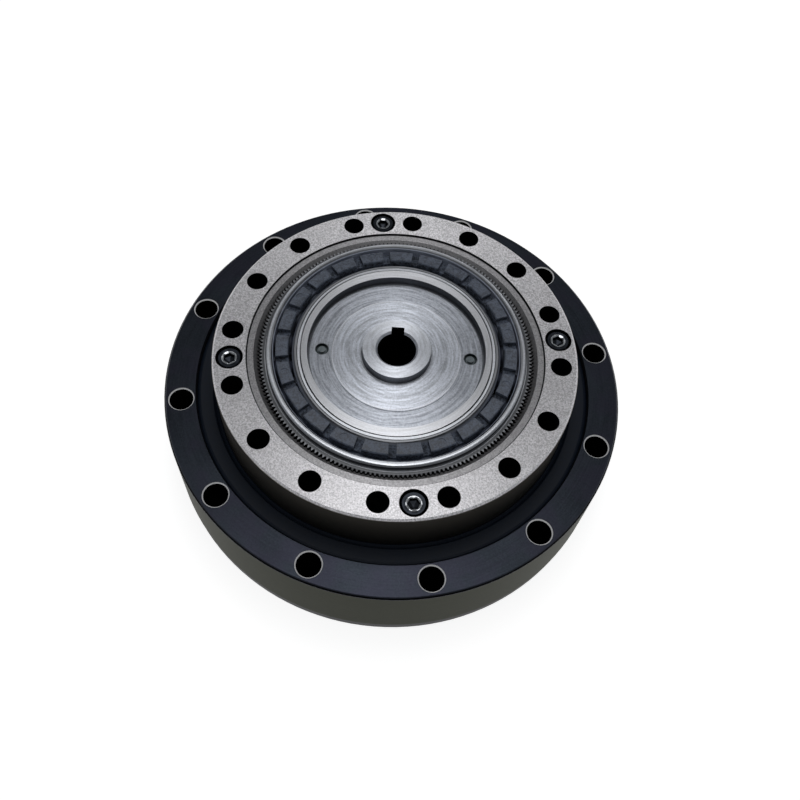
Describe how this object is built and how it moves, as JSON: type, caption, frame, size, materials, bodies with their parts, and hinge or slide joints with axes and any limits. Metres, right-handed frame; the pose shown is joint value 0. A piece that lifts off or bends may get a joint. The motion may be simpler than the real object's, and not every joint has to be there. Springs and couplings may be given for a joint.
{
  "type": "strain wave gear unit",
  "caption": "Flat strain wave gear unit: bolt-hole flange, crossed roller bearing, toothed output ring, keyed oval wave generator.",
  "frame": {"origin": "centre of the rear mounting face, on the axis of rotation", "axes": "+Z along the axis of rotation, out of the output face; +X towards an output bolt hole"},
  "size_m": [0.11, 0.11, 0.0352],
  "materials": {
    "black_oxide": "satin black oxide",
    "ring_steel": "fine matt ground",
    "spring_steel": "fine turned",
    "race_steel": "ground",
    "turned_steel": "concentric turned",
    "bearing_steel": "ground",
    "ball_steel": "polished",
    "dark_screw": "black oxide",
    "seal_rubber": "smooth",
    "cage_plastic": "moulded",
    "spacer_plastic": "moulded"
  },
  "bodies": {
    "housing": {"outer_ring": "black_oxide", "flexspline": "spring_steel", "seal_case": "bearing_steel", "seal_lip": "seal_rubber", "seal_spring": "bearing_steel", "flange_o_ring": "seal_rubber", "flexspline_screws": "dark_screw", "flex_outer_race": "race_steel"},
    "output": {"circular_spline": "ring_steel", "inner_ring_front": "bearing_steel", "inner_ring_rear": "bearing_steel", "spline_screws": "dark_screw", "spline_o_ring": "seal_rubber"},
    "wave_generator": {"wave_plug": "turned_steel", "flex_inner_race": "race_steel"},
    "ball_train": {"flex_cage": "cage_plastic", "flex_balls": "ball_steel"},
    "roller_train": {"rollers_rising": "ball_steel", "rollers_falling": "ball_steel", "roller_spacers": "spacer_plastic"}
  },
  "joints": [
    {"name": "input_spin", "type": "hinge", "parent": "housing", "child": "wave_generator", "pos_m": [0, 0, 0], "axis": [0, 0, 1], "continuous": true, "deforming": ["flexspline"]},
    {"name": "output_spin", "type": "hinge", "parent": "housing", "child": "output", "pos_m": [0, 0, 0], "axis": [0, 0, 1], "continuous": true},
    {"name": "ball_orbit", "type": "hinge", "parent": "housing", "child": "ball_train", "pos_m": [0, 0, 0], "axis": [0, 0, 1], "continuous": true},
    {"name": "roller_orbit", "type": "hinge", "parent": "housing", "child": "roller_train", "pos_m": [0, 0, 0], "axis": [0, 0, 1], "continuous": true}
  ],
  "couplings": [
    {"joint": "output_spin", "follows": "input_spin", "ratio": 0.009901},
    {"joint": "ball_orbit", "follows": "input_spin", "ratio": 0.44455},
    {"joint": "roller_orbit", "follows": "input_spin", "ratio": 0.0047896}
  ]
}
